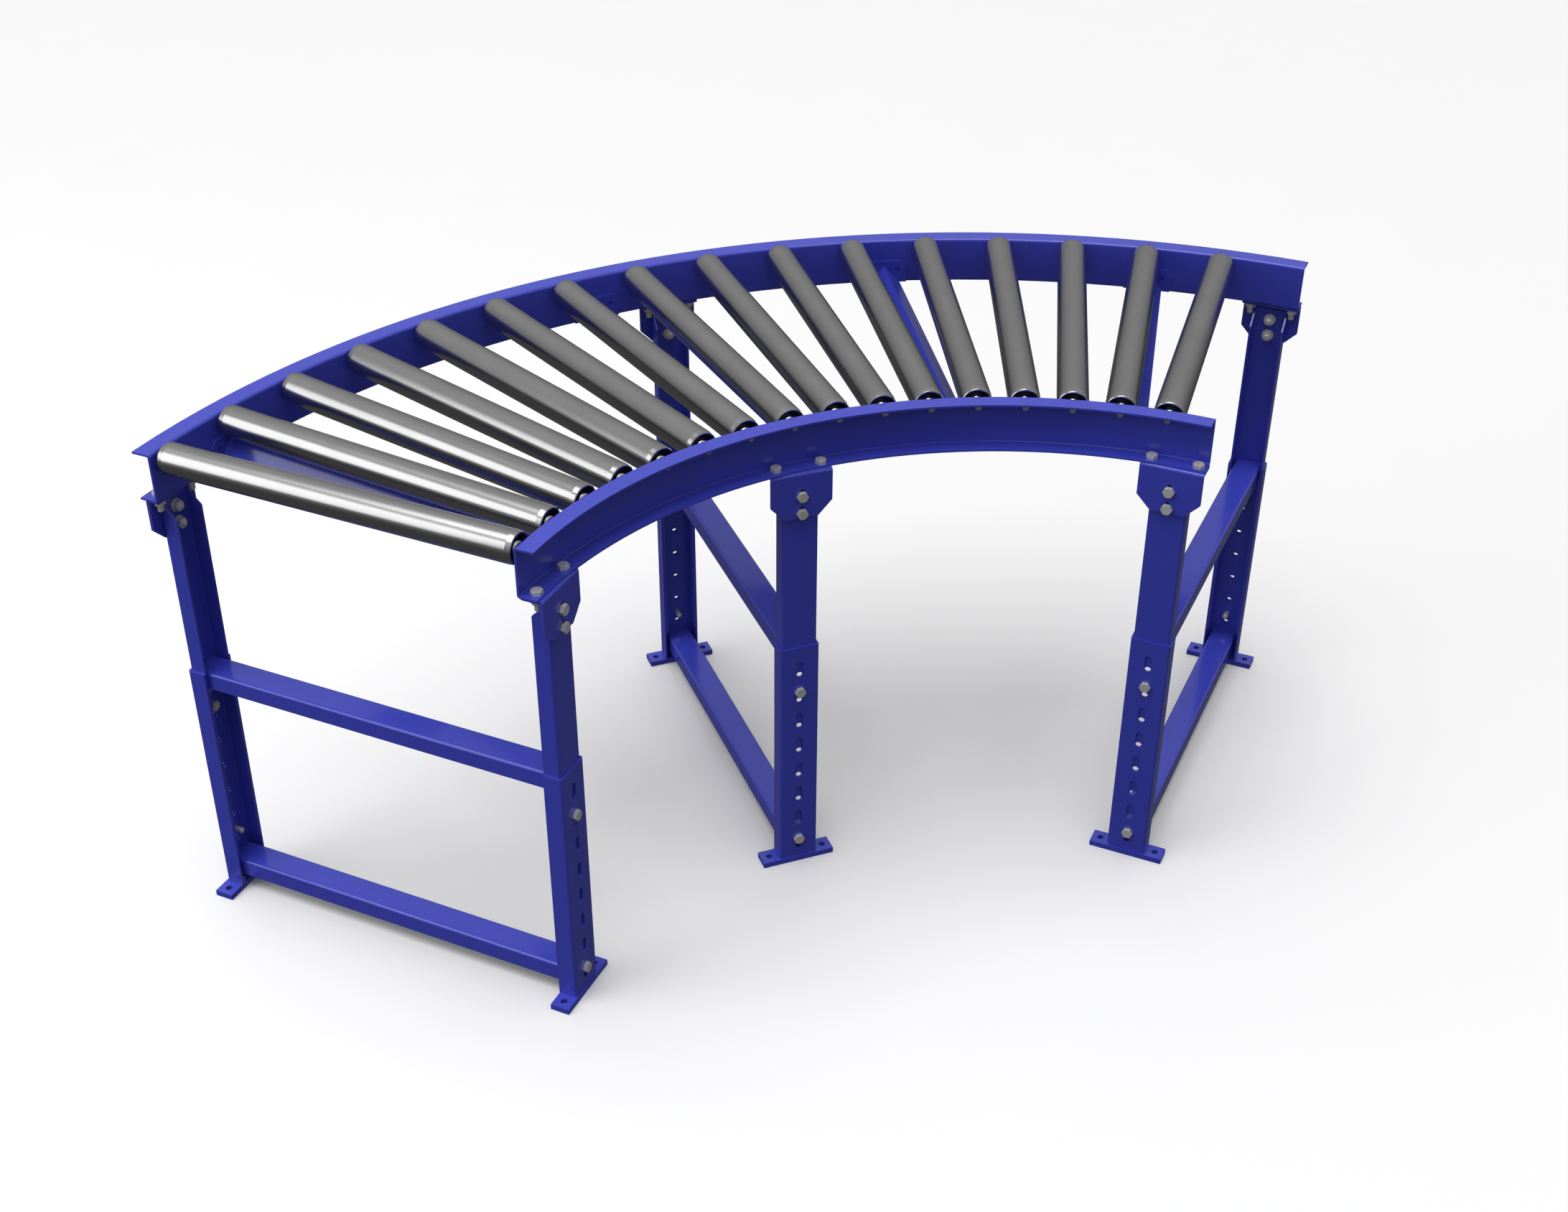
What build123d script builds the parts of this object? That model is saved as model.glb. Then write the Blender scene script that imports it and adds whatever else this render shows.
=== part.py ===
"""Gravity roller conveyor, 90 degree curve on three adjustable H-stands.

Millimetres, +Z up, floor at z = 0. Everything is laid out round the curve's centre: the track
enters at azimuth 180 degrees and leaves at azimuth 90 degrees. save() then moves each part so
that the origin is under the middle of the whole conveyor.
"""
import os
from math import cos, radians, sin, sqrt

from build123d import *

os.makedirs("parts", exist_ok=True)

# --- Pressed steel sections ---------------------------------------------------------
gauge = 3.0                 # wall of every channel
bend = 1.5                  # inside radius of a bend

# --- Track --------------------------------------------------------------------------
rail_top = 840.0
rail_height = 80.0
rail_flange = 31.0
inner_rail_r = 760.0        # roller side of the inner rail's web
between_rails = 612.0
outer_rail_r = inner_rail_r + between_rails
entry_tail = 7.3            # straight ends past the quarter turn
exit_tail = 6.5
rail_bottom = rail_top - rail_height
base_centre = (-692.3, 694.3)           # middle of the floor area: the origin of the saved parts

# --- Rollers ------------------------------------------------------------------------
roller_count = 16
roller_d = 50.0
roller_length = 598.0
roller_z = 824.3
roller_wall = 1.5
fan_centre = Vector(23.0, 12.3, 0)      # the point that the roller axes spread from
first_roller_deg = 179.58
roller_step_deg = 5.521
nose_length = 9.0           # swaged end of the tube
nose_drop = 0.9
mouth_r = 21.5              # opening in the tube's end
axle_d = 10.0
axle_stub = 6.0             # how far the axle stands out behind each web
race_r = 12.0
running_gap = 0.05

# --- Braces between the rails -------------------------------------------------------
brace_fan_centre = Vector(43.3, 33.5, 0)
brace_degs = (174.95, 145.2, 123.05, 103.06)
angle_leg = 38.0
angle_ridge_z = 792.6
end_plate_width = 82.0
end_plate_z = (761.0, 801.5)
end_plate_corner = 11.0
end_plate_hole_z = 785.0
end_plate_hole_x = 25.0

# --- Stands -------------------------------------------------------------------------
stand_places = ((180.0, -47.0), (135.0, 52.0), (90.0, 43.0))    # azimuth, sideways shift
slide_gap = 0.3             # between the nested upper and lower legs
lower_width = 66.0
lower_depth = 31.0
lower_top = 440.0
upper_width = lower_width - 2 * gauge - 2 * slide_gap
upper_depth = 28.0
upper_bottom = 72.0
upper_top = 746.0
upper_lip_top = 717.0       # where the slant at the top of each flange starts
slot_width = 11.0
slot_length = 29.5
slot_pitch = 50.8
slot_count = 8
top_slot_z = 397.8
hole_d = 11.0
top_hole_z = 435.5
clamp_bolt_z = 354.0
upper_brace = (48.0, 29.0, 438.0)       # width, depth, top
lower_brace = (47.0, 30.0, 57.0)
foot_size = (32.0, 126.0, 10.0)
foot_overhang = 2.0
foot_hole_x = 48.3

# --- Brackets between the stands and the rails --------------------------------------
bracket_t = 5.0
bracket_half = 50.0
bracket_foot_half = 27.0
bracket_side_z = 705.5
bracket_bottom = 681.5
bracket_slot_zs = (720.0, 690.0)
bracket_slot_length = 24.0
rail_bolt_x = 36.5

# --- M10 fasteners ------------------------------------------------------------------
bolt_d = 10.0
across_flats = 16.0
head_height = 6.4
nut_height = 8.0
washer_d = 21.0
washer_t = 2.0

# Each stand has an inner and an outer leg: back of the lower leg's web, the way its
# flanges point, bracket flange, radius of the rail bolts and heights of the other bolts.
inner_leg = dict(back=724.0, toward=1, flange=35.0, rail_bolt_r=739.0, plate_bolts=(720.0, 690.0))
outer_leg = dict(back=1396.5, toward=-1, flange=23.0, rail_bolt_r=1385.0, plate_bolts=(726.0, 696.0))
legs = (inner_leg, outer_leg)
inner_low_bolt_z = 48.3
outer_low_bolt_z = 100.0
for leg in legs:
    leg["upper_back"] = leg["back"] + leg["toward"] * (gauge + slide_gap)
    leg["plate_face"] = leg["upper_back"] - leg["toward"] * bracket_t


# --- Helpers ------------------------------------------------------------------------
def section_plane(azimuth_deg, origin=(0, 0, 0)):
    """Upright plane through the curve's centre: local x is the radius, local y is height."""
    a = radians(azimuth_deg)
    return Plane(origin=origin, x_dir=(cos(a), sin(a), 0), z_dir=(sin(a), -cos(a), 0))


def stand_frame(azimuth_deg, shift):
    """Level plane of one stand: local x is the radius, local y runs along the track."""
    a = radians(azimuth_deg)
    return Plane(origin=(-sin(a) * shift, cos(a) * shift, 0), x_dir=(cos(a), sin(a), 0), z_dir=(0, 0, 1))


def level(stand, radius, along, height):
    """Level plane at a point of a stand."""
    origin = stand.from_local_coords(Vector(radius, along, height))
    return Plane(origin=origin, x_dir=stand.x_dir, z_dir=(0, 0, 1))


def facing(stand, radius, height, way):
    """Upright plane at a point of a stand, facing away from the centre (1) or to it (-1)."""
    origin = stand.from_local_coords(Vector(radius, 0, height))
    return Plane(origin=origin, x_dir=stand.y_dir * way, z_dir=stand.x_dir * way)


def reach(origin, direction, radius):
    """Distance from origin along direction to the circle of this radius round the centre."""
    along = origin.dot(direction)
    return -along + sqrt(along**2 - origin.dot(origin) + radius**2)


def channel(plane, back, toward, width, depth, middle=0.0):
    """C-section with the back of its web at x = back and its flanges pointing toward +x or -x."""
    lip = back + toward * depth
    with BuildSketch(plane) as section:
        with Locations((lip, middle)):
            RectangleRounded(2 * depth, width, gauge + bend)
            RectangleRounded(2 * (depth - gauge), width - 2 * gauge, bend, mode=Mode.SUBTRACT)
        with Locations((lip + toward * depth, middle)):
            Rectangle(2 * depth, 2 * width, mode=Mode.SUBTRACT)
    return section.sketch


def ring(z_low, radii):
    """Level rings round the curve's centre, one for each pair of radii."""
    with BuildSketch(Plane.XY.offset(z_low)) as rings:
        for r_in, r_out in sorted(radii, reverse=True):
            Circle(r_out)
            Circle(r_in, mode=Mode.SUBTRACT)
    return rings.sketch


def hex_bolt(length, turn=0):
    """Bolt with its head above z = 0 and its round-ended shank below."""
    with BuildPart() as bolt:
        with BuildSketch():
            RegularPolygon(across_flats / 2, 6, major_radius=False, rotation=turn)
        extrude(amount=head_height)
        with BuildSketch(Plane.XY.offset(head_height)):
            Circle(across_flats / 2)
        extrude(amount=-head_height, taper=-60, mode=Mode.INTERSECT)
        with BuildSketch():
            Circle(bolt_d / 2)
        extrude(amount=-length)
        fillet(bolt.edges().sort_by(Axis.Z)[0], radius=2.0)
    return bolt.part


def hex_nut(turn=0):
    """Nut from z = 0 down, with a plain bore that fits the bolt."""
    with BuildPart() as nut:
        with BuildSketch():
            RegularPolygon(across_flats / 2, 6, major_radius=False, rotation=turn)
        extrude(amount=-nut_height)
        with BuildSketch(Plane.XY.offset(-nut_height)):
            Circle(across_flats / 2)
        extrude(amount=nut_height, taper=-60, mode=Mode.INTERSECT)
        with BuildSketch():
            Circle(bolt_d / 2)
        extrude(amount=-nut_height, mode=Mode.SUBTRACT)
    return nut.part


def save(builder, name):
    part = builder.part.moved(Location((-base_centre[0], -base_centre[1], 0)))
    part.label = name
    export_step(part, f"parts/{name}.step")


stands = [stand_frame(*place) for place in stand_places]

# Plane at the inner web of each roller's axis, with its length from web to web
roller_lines = []
for i in range(roller_count):
    azimuth = radians(first_roller_deg - i * roller_step_deg)
    direction = Vector(cos(azimuth), sin(azimuth), 0)
    start = reach(fan_centre, direction, inner_rail_r)
    span = reach(fan_centre, direction, outer_rail_r) - start
    origin = fan_centre + direction * start + Vector(0, 0, roller_z)
    roller_lines.append((Plane(origin=origin, x_dir=(0, 0, 1), z_dir=direction), span))

# --- Rails --------------------------------------------------------------------------
rails = (("inner_rail", inner_rail_r, -1, inner_leg), ("outer_rail", outer_rail_r, 1, outer_leg))
clockwise = Axis((0, 0, 0), (0, 0, -1))
for name, face_r, toward, leg in rails:
    mid_z = rail_top - rail_height / 2
    entry = channel(section_plane(180), face_r, toward, rail_height, rail_flange, mid_z)
    end = channel(section_plane(90), face_r, toward, rail_height, rail_flange, mid_z)
    with BuildPart() as rail:
        revolve(entry, axis=clockwise, revolution_arc=90)
        extrude(entry, amount=-entry_tail)
        extrude(end, amount=exit_tail)
        for line, span in roller_lines:
            with BuildSketch(line.offset(-10)):
                Circle(axle_d / 2)
            extrude(amount=span + 20, mode=Mode.SUBTRACT)
        for stand in stands:
            for along in (-rail_bolt_x, rail_bolt_x):
                with BuildSketch(level(stand, leg["rail_bolt_r"], along, rail_bottom - 1)):
                    Circle(hole_d / 2)
                extrude(amount=gauge + 2, mode=Mode.SUBTRACT)
    save(rail, name)

# --- Braces between the rails: angle irons with an end plate on each web ------------
brace_planes = []
for azimuth_deg in brace_degs:
    a = radians(azimuth_deg)
    brace_planes.append(Plane(origin=brace_fan_centre, x_dir=(-sin(a), cos(a), 0),
                              z_dir=(cos(a), sin(a), 0)))
foot_x = angle_leg * sin(radians(45))
lip = gauge * sin(radians(45))
plate_rings = ((inner_rail_r, inner_rail_r + gauge), (outer_rail_r - gauge, outer_rail_r))

with BuildPart() as rail_braces:
    for plane in brace_planes:
        with BuildSketch(plane.offset(inner_rail_r - 80)):
            with BuildLine():
                Polyline((0, angle_ridge_z), (-foot_x, angle_ridge_z - foot_x),
                         (lip - foot_x, angle_ridge_z - foot_x - lip), (0, angle_ridge_z - 2 * lip),
                         (foot_x - lip, angle_ridge_z - foot_x - lip), (foot_x, angle_ridge_z - foot_x),
                         close=True)
            make_face()
        extrude(amount=between_rails + 160)
    bar_ring = ring(rail_bottom, ((inner_rail_r + gauge, outer_rail_r - gauge),))
    extrude(bar_ring, amount=rail_height, mode=Mode.INTERSECT)
save(rail_braces, "rail_braces")

with BuildPart() as brace_plates:
    for plane in brace_planes:
        with BuildSketch(plane.offset(inner_rail_r - 80)) as outline:
            with Locations((0, sum(end_plate_z) / 2)):
                Rectangle(end_plate_width, end_plate_z[1] - end_plate_z[0])
            chamfer(outline.vertices().group_by(Axis.Y)[-1], length=end_plate_corner)
            with Locations((-end_plate_hole_x, end_plate_hole_z), (end_plate_hole_x, end_plate_hole_z)):
                Circle(4.0, mode=Mode.SUBTRACT)
        extrude(amount=between_rails + 160)
    extrude(ring(rail_bottom, plate_rings), amount=rail_height, mode=Mode.INTERSECT)
save(brace_plates, "rail_brace_plates")

# --- Rollers ------------------------------------------------------------------------
with BuildPart() as axles:
    for line, span in roller_lines:
        with BuildSketch(line.offset(-gauge - axle_stub)):
            Circle(axle_d / 2)
        extrude(amount=span + 2 * (gauge + axle_stub))
save(axles, "roller_axles")

# One roller end: x is the radius, y the depth behind the tube's end
tube_r = roller_d / 2
bore_r = tube_r - roller_wall
race_depth = 15.0
with BuildSketch(Plane.XZ) as race_section:
    with BuildLine():
        Line((axle_d / 2, -1.5), (6.5, -1.5))
        ThreePointArc((6.5, -1.5), (10.6, 1.6), (race_r, 6.5))
        Polyline((race_r, 6.5), (race_r, race_depth), (axle_d / 2, race_depth), (axle_d / 2, -1.5))
    make_face()

with BuildSketch(Plane.XZ) as housing_section:
    with BuildLine():
        Polyline((bore_r, roller_wall), (19.5, roller_wall), (17.0, 7.5), (race_r + running_gap, 7.5),
                 (race_r + running_gap, race_depth), (bore_r, race_depth), close=True)
    make_face()

with BuildPart() as race:
    revolve(race_section.sketch, axis=Axis.Z)

with BuildPart() as housing:
    revolve(housing_section.sketch, axis=Axis.Z)

with BuildPart() as tube:
    with BuildSketch(Plane.XZ):
        with BuildLine():
            Polyline((mouth_r, 0), (tube_r - nose_drop - 1, 0), (tube_r - nose_drop, 1),
                     (tube_r, nose_length), (tube_r, roller_length - nose_length),
                     (tube_r - nose_drop, roller_length - 1),
                     (tube_r - nose_drop - 1, roller_length), (mouth_r, roller_length),
                     (mouth_r, roller_length - roller_wall), (bore_r, roller_length - roller_wall),
                     (bore_r, roller_wall), (mouth_r, roller_wall), close=True)
        make_face()
    revolve(axis=Axis.Z)

with BuildPart() as races:
    for line, span in roller_lines:
        gap = (span - roller_length) / 2
        near = line.offset(gap)
        far = line.offset(span - gap)
        add(race.part.moved(near.location))
        add(race.part.moved(Plane(origin=far.origin, x_dir=far.x_dir, z_dir=-far.z_dir).location))
save(races, "bearing_inner_races")

for number, (line, span) in enumerate(roller_lines, start=1):
    gap = (span - roller_length) / 2
    near = line.offset(gap)
    far = line.offset(span - gap)
    with BuildPart() as roller_tube:
        add(tube.part.moved(near.location))
    save(roller_tube, f"roller_tube_{number:02d}")
    with BuildPart() as roller_bearings:
        add(housing.part.moved(near.location))
        add(housing.part.moved(Plane(origin=far.origin, x_dir=far.x_dir, z_dir=-far.z_dir).location))
    save(roller_bearings, f"roller_bearings_{number:02d}")

# --- Stands: upper legs, fixed to the track -----------------------------------------
with BuildPart() as upper_legs:
    for stand in stands:
        for leg in legs:
            toward, back = leg["toward"], leg["upper_back"]
            inside, lip_x = back + toward * gauge, back + toward * upper_depth
            section = channel(stand.offset(upper_bottom), back, toward, upper_width, upper_depth)
            extrude(section, amount=upper_top - upper_bottom)
            with BuildSketch(Plane(origin=stand.origin, x_dir=stand.x_dir, z_dir=-stand.y_dir)):
                with BuildLine():
                    Polyline((lip_x + toward, upper_lip_top - 1), (inside, upper_lip_top + upper_depth - gauge),
                             (inside, upper_top + 1), (lip_x + toward, upper_top + 1), close=True)
                make_face()
            extrude(amount=upper_width, both=True, mode=Mode.SUBTRACT)
            zs = [top_hole_z - k * slot_pitch for k in range(slot_count)]
            zs += [clamp_bolt_z, *leg["plate_bolts"]]
            if leg is outer_leg:
                zs.append(outer_low_bolt_z)
            with BuildSketch(facing(stand, back, 0, 1)):
                with Locations([(0, z) for z in zs]):
                    Circle(hole_d / 2)
            extrude(amount=2 * gauge, both=True, mode=Mode.SUBTRACT)
save(upper_legs, "upper_legs")


def cross_brace(stand, size, leg_back, leg_far_back):
    """Channel open downward between two leg webs: section plane and length."""
    width, depth, top = size
    plane = Plane(origin=stand.from_local_coords(Vector(leg_back + gauge, 0, 0)),
                  x_dir=(0, 0, 1), z_dir=stand.x_dir)
    return channel(plane, top, -1, width, depth), leg_far_back - leg_back - 2 * gauge


with BuildPart() as upper_braces:
    for stand in stands:
        section, length = cross_brace(stand, upper_brace, inner_leg["upper_back"], outer_leg["upper_back"])
        extrude(section, amount=length)
save(upper_braces, "upper_cross_braces")

# --- Stands: lower legs with their feet, which slide on the upper legs --------------
slot_zs = [top_slot_z - k * slot_pitch for k in range(slot_count)]
for number, stand in enumerate(stands, start=1):
    with BuildPart() as lower_legs:
        for leg in legs:
            section = channel(stand.offset(foot_size[2]), leg["back"], leg["toward"], lower_width, lower_depth)
            extrude(section, amount=lower_top - foot_size[2])
            with BuildSketch(facing(stand, leg["back"], 0, 1)):
                with Locations([(0, z) for z in slot_zs]):
                    SlotOverall(slot_length, slot_width, rotation=90)
            extrude(amount=gauge + 1, both=True, mode=Mode.SUBTRACT)
    save(lower_legs, f"lower_legs_{number}")

    with BuildPart() as brace:
        section, length = cross_brace(stand, lower_brace, inner_leg["back"], outer_leg["back"])
        extrude(section, amount=length)
    save(brace, f"lower_cross_brace_{number}")

    with BuildPart() as feet:
        for leg in legs:
            centre_r = leg["back"] + leg["toward"] * (foot_size[0] / 2 - foot_overhang)
            with BuildSketch(level(stand, centre_r, 0, 0)):
                Rectangle(foot_size[0], foot_size[1])
                with Locations((0, -foot_hole_x), (0, foot_hole_x)):
                    Circle(hole_d / 2, mode=Mode.SUBTRACT)
            extrude(amount=foot_size[2])
    save(feet, f"foot_plates_{number}")

    with BuildPart() as brace_bolt:
        seat = facing(stand, inner_leg["back"], inner_low_bolt_z, -1)
        add(hex_bolt(20.0).moved(seat.location))
    save(brace_bolt, f"lower_brace_bolt_{number}")

# --- Brackets -----------------------------------------------------------------------
with BuildPart() as brackets:
    for stand in stands:
        for leg in legs:
            toward, face = leg["toward"], leg["plate_face"]
            with BuildSketch(Plane(origin=stand.origin, x_dir=stand.x_dir, z_dir=-stand.y_dir)) as section:
                with Locations((face + toward * bracket_t / 2, (bracket_bottom + rail_bottom) / 2)):
                    Rectangle(bracket_t, rail_bottom - bracket_bottom)
                with Locations((face + toward * leg["flange"] / 2, rail_bottom - bracket_t / 2)):
                    Rectangle(leg["flange"], bracket_t)
                top = section.vertices().group_by(Axis.Y)[-1].sort_by(Axis.X)
                fillet(top[0 if toward > 0 else -1], radius=bracket_t)
            extrude(amount=bracket_half, both=True)
            with BuildSketch(facing(stand, face, 0, 1)):
                for side in (-1, 1):
                    with BuildLine():
                        Polyline((side * bracket_half, bracket_side_z),
                                 (side * bracket_foot_half, bracket_bottom),
                                 (side * bracket_half, bracket_bottom), close=True)
                    make_face()
                with Locations([(0, z) for z in bracket_slot_zs]):
                    SlotOverall(bracket_slot_length, slot_width, rotation=90)
            extrude(amount=bracket_t + 1, both=True, mode=Mode.SUBTRACT)
            with BuildSketch(level(stand, leg["rail_bolt_r"], 0, rail_bottom - bracket_t)):
                with Locations((0, -rail_bolt_x), (0, rail_bolt_x)):
                    Circle(hole_d / 2)
            extrude(amount=bracket_t, mode=Mode.SUBTRACT)
save(brackets, "rail_brackets")

# --- Fasteners ----------------------------------------------------------------------
rail_seats = [(stand, leg, along) for stand in stands for leg in legs for along in (-rail_bolt_x, rail_bolt_x)]
with BuildPart() as rail_bolts:
    for stand, leg, along in rail_seats:
        add(hex_bolt(28.0, 30).moved(level(stand, leg["rail_bolt_r"], along, rail_bottom + gauge).location))
save(rail_bolts, "bracket_rail_bolts")

with BuildPart() as rail_nuts:
    for stand, leg, along in rail_seats:
        add(hex_nut(30).moved(level(stand, leg["rail_bolt_r"], along, rail_bottom - bracket_t).location))
save(rail_nuts, "bracket_rail_nuts")

plate_seats = [(stand, leg, z) for stand in stands for leg in legs for z in leg["plate_bolts"]]
with BuildPart() as plate_bolts:
    for stand, leg, z in plate_seats:
        seat = facing(stand, leg["plate_face"], z, -leg["toward"])
        add(hex_bolt(bracket_t + gauge + washer_t + nut_height + 4.0).moved(seat.location))
save(plate_bolts, "bracket_leg_bolts")

with BuildPart() as washers:
    for stand, leg, z in plate_seats:
        with BuildSketch(facing(stand, leg["upper_back"] + leg["toward"] * gauge, z, leg["toward"])):
            Circle(washer_d / 2)
            Circle(bolt_d / 2, mode=Mode.SUBTRACT)
        extrude(amount=washer_t)
save(washers, "bracket_leg_washers")

with BuildPart() as plate_nuts:
    for stand, leg, z in plate_seats:
        seat = facing(stand, leg["upper_back"] + leg["toward"] * (gauge + washer_t), z, -leg["toward"])
        add(hex_nut().moved(seat.location))
save(plate_nuts, "bracket_leg_nuts")

with BuildPart() as leg_bolts:
    for stand in stands:
        for leg in legs:
            seat = facing(stand, leg["back"] - leg["toward"] * slide_gap, clamp_bolt_z, -leg["toward"])
            add(hex_bolt(2 * gauge + 2 * slide_gap + nut_height + 3.0).moved(seat.location))
        seat = facing(stand, outer_leg["back"] + slide_gap, outer_low_bolt_z, 1)
        add(hex_bolt(22.0).moved(seat.location))
save(leg_bolts, "leg_bolts")

with BuildPart() as leg_nuts:
    for stand in stands:
        for leg in legs:
            seat = facing(stand, leg["upper_back"] + leg["toward"] * gauge, clamp_bolt_z, -leg["toward"])
            add(hex_nut().moved(seat.location))
save(leg_nuts, "leg_nuts")
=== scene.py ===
from math import cos, radians, sin

import bmesh
import bpy
from mathutils import Matrix, Vector

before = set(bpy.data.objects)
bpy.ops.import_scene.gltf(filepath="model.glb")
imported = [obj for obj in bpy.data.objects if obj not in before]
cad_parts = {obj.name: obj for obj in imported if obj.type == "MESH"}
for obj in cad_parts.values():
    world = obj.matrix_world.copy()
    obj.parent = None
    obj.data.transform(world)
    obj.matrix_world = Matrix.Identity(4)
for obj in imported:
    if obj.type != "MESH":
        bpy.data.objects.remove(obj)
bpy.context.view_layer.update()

# Metres, watts and degrees
FLOOR_HALF = 30.0
AIM = (0, 0, 0.7)                       # what the key light points at
KEY_PLACE, KEY_SIZE, KEY_POWER = (-3.2, -3.3, 2.6), (3.2, 3.2), 62
SUN_STRENGTH, SUN_SPREAD, SUN_TILT = 1.95, 50, (8, -6)
SKY_RANGE, SKY_STRENGTH = (-0.3, 0.6), (0.08, 0.48)     # height of the view ray, and brightness there
CAMERA_PLACE, CAMERA_LENS, CAMERA_SENSOR = (1.2204, -2.6629, 2.2570), 46.33, 36.0
CAMERA_YAW, CAMERA_PITCH, CAMERA_ROLL = 114.345, -33.05, -0.21


# --- Materials ----------------------------------------------------------------------
class Nodes:
    """A material's node tree, with short names for the steps used here."""

    def __init__(self, name):
        self.material = bpy.data.materials.new(name)
        self.material.use_nodes = True
        self.tree = self.material.node_tree
        self.shader = self.tree.nodes["Principled BSDF"]
        self.coords = self.tree.nodes.new("ShaderNodeTexCoord")

    def link(self, a, b):
        self.tree.links.new(a, b)

    def noise(self, scale, detail=3.0):
        node = self.tree.nodes.new("ShaderNodeTexNoise")
        node.inputs["Scale"].default_value = scale
        node.inputs["Detail"].default_value = detail
        self.link(self.coords.outputs["Object"], node.inputs["Vector"])
        return node.outputs["Fac"]

    def colour(self, value, low, high):
        """Base colour between low and high as value goes from 0.3 to 0.7."""
        node = self.tree.nodes.new("ShaderNodeValToRGB")
        for element, place, shade in zip(node.color_ramp.elements, (0.3, 0.7), (low, high)):
            element.position = place
            element.color = (*shade, 1)
        self.link(value, node.inputs["Fac"])
        self.link(node.outputs["Color"], self.shader.inputs["Base Color"])

    def roughness(self, value, low, high):
        node = self.tree.nodes.new("ShaderNodeMapRange")
        node.inputs["To Min"].default_value = low
        node.inputs["To Max"].default_value = high
        self.link(value, node.inputs["Value"])
        self.link(node.outputs["Result"], self.shader.inputs["Roughness"])

    def bump(self, value, strength, distance):
        node = self.tree.nodes.new("ShaderNodeBump")
        node.inputs["Strength"].default_value = strength
        node.inputs["Distance"].default_value = distance
        self.link(value, node.inputs["Height"])
        self.link(node.outputs["Normal"], self.shader.inputs["Normal"])


def powder_coat():
    """Glossy royal blue with the faint orange peel of a powder coat."""
    n = Nodes("blue_powder_coat")
    n.colour(n.noise(9.0), (0.045, 0.058, 0.50), (0.049, 0.063, 0.53))
    n.roughness(n.noise(60.0), 0.16, 0.24)
    n.bump(n.noise(900.0, detail=1.0), strength=0.05, distance=0.0002)
    n.shader.inputs["Coat Weight"].default_value = 0.3
    n.shader.inputs["Coat Roughness"].default_value = 0.06
    return n.material


def roller_steel():
    """Bright zinc-plated tube."""
    n = Nodes("roller_steel")
    n.colour(n.noise(14.0), (0.42, 0.42, 0.42), (0.45, 0.45, 0.45))
    n.roughness(n.noise(6.0), 0.22, 0.25)
    n.shader.inputs["Metallic"].default_value = 1.0
    return n.material


def bright_steel():
    n = Nodes("bright_steel")
    n.colour(n.noise(40.0), (0.62, 0.62, 0.61), (0.70, 0.70, 0.69))
    n.roughness(n.noise(120.0), 0.18, 0.28)
    n.shader.inputs["Metallic"].default_value = 1.0
    return n.material


def zinc():
    n = Nodes("zinc_plate")
    n.colour(n.noise(60.0), (0.60, 0.60, 0.57), (0.70, 0.70, 0.67))
    n.roughness(n.noise(150.0), 0.28, 0.40)
    n.shader.inputs["Metallic"].default_value = 0.35
    return n.material


def black_plastic():
    n = Nodes("black_housing")
    n.colour(n.noise(80.0), (0.004, 0.004, 0.006), (0.010, 0.010, 0.014))
    n.roughness(n.noise(200.0), 0.25, 0.40)
    return n.material


def floor_paint():
    n = Nodes("pale_floor")
    n.colour(n.noise(2.0), (0.90, 0.90, 0.905), (0.905, 0.905, 0.91))
    n.roughness(n.noise(5.0), 0.55, 0.65)
    return n.material


blue = powder_coat()
tube_steel = roller_steel()
bright = bright_steel()
plated = zinc()
black = black_plastic()

for name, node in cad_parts.items():
    if name.startswith("roller_tube"):
        look = tube_steel
    elif name.startswith("roller_bearings"):
        look = black
    elif name in ("roller_axles", "bearing_inner_races"):
        look = bright
    elif "bolt" in name or "nut" in name or "washer" in name:
        look = plated
    else:
        look = blue
    node.data.materials.clear()
    node.data.materials.append(look)

# --- Floor, light and camera --------------------------------------------------------
mesh = bpy.data.meshes.new("floor")
plan = bmesh.new()
bmesh.ops.create_grid(plan, x_segments=1, y_segments=1, size=FLOOR_HALF)
plan.to_mesh(mesh)
plan.free()
floor = bpy.data.objects.new("floor", mesh)
bpy.context.scene.collection.objects.link(floor)
floor.data.materials.append(floor_paint())

floor.visible_diffuse = False
floor.visible_glossy = False

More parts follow.
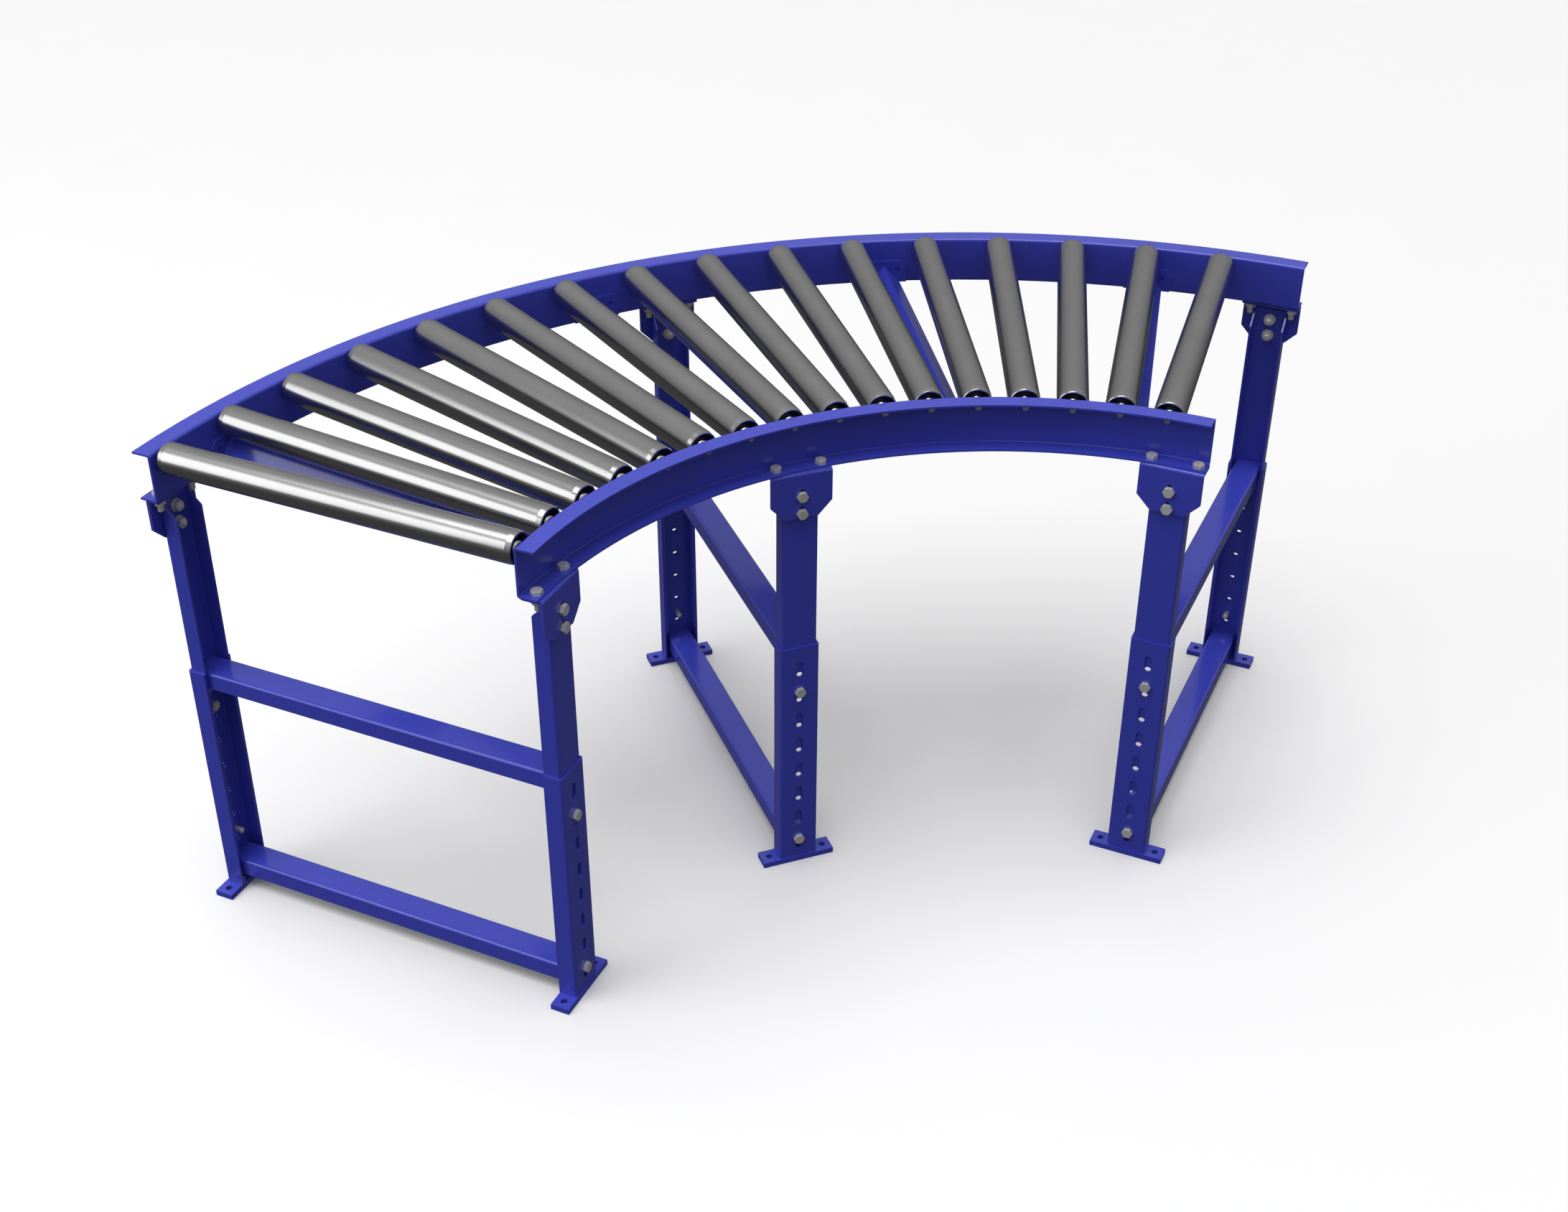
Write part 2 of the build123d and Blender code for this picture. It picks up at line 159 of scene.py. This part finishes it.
world = bpy.data.worlds.new("studio")
bpy.context.scene.world = world
bpy.context.scene.view_settings.view_transform = "Standard"
world.use_nodes = True
sky = world.node_tree
sky.nodes["Background"].inputs["Color"].default_value = (1, 1, 1, 1)
way = sky.nodes.new("ShaderNodeTexCoord")
split = sky.nodes.new("ShaderNodeSeparateXYZ")
height = sky.nodes.new("ShaderNodeMapRange")
height.inputs["From Min"].default_value, height.inputs["From Max"].default_value = SKY_RANGE
height.inputs["To Min"].default_value, height.inputs["To Max"].default_value = SKY_STRENGTH
sky.links.new(way.outputs["Generated"], split.inputs["Vector"])
sky.links.new(split.outputs["Z"], height.inputs["Value"])
sky.links.new(height.outputs["Result"], sky.nodes["Background"].inputs["Strength"])


def area_light(name, place, target, size, power):
    data = bpy.data.lights.new(name, "AREA")
    data.shape = "RECTANGLE"
    data.size, data.size_y = size
    data.energy = power
    light = bpy.data.objects.new(name, data)
    light.location = place
    light.rotation_euler = (Vector(target) - Vector(place)).to_track_quat("-Z", "Y").to_euler()
    bpy.context.scene.collection.objects.link(light)


area_light("key", KEY_PLACE, AIM, KEY_SIZE, KEY_POWER)

sun_data = bpy.data.lights.new("overhead", "SUN")
sun_data.energy = SUN_STRENGTH
sun_data.angle = radians(SUN_SPREAD)
sun = bpy.data.objects.new("overhead", sun_data)
sun.rotation_euler = (*(radians(tilt) for tilt in SUN_TILT), 0)
bpy.context.scene.collection.objects.link(sun)

camera_data = bpy.data.cameras.new("camera")
camera_data.sensor_width = CAMERA_SENSOR
camera_data.lens = CAMERA_LENS
camera_data.clip_end = 100
camera = bpy.data.objects.new("camera", camera_data)
yaw, pitch, roll = radians(CAMERA_YAW), radians(CAMERA_PITCH), radians(CAMERA_ROLL)
look_way = Vector((cos(yaw) * cos(pitch), sin(yaw) * cos(pitch), sin(pitch)))
camera.location = CAMERA_PLACE
level_view = look_way.to_track_quat("-Z", "Y").to_matrix()
camera.rotation_euler = (level_view @ Matrix.Rotation(-roll, 3, "Z")).to_euler()
bpy.context.scene.collection.objects.link(camera)
bpy.context.scene.camera = camera
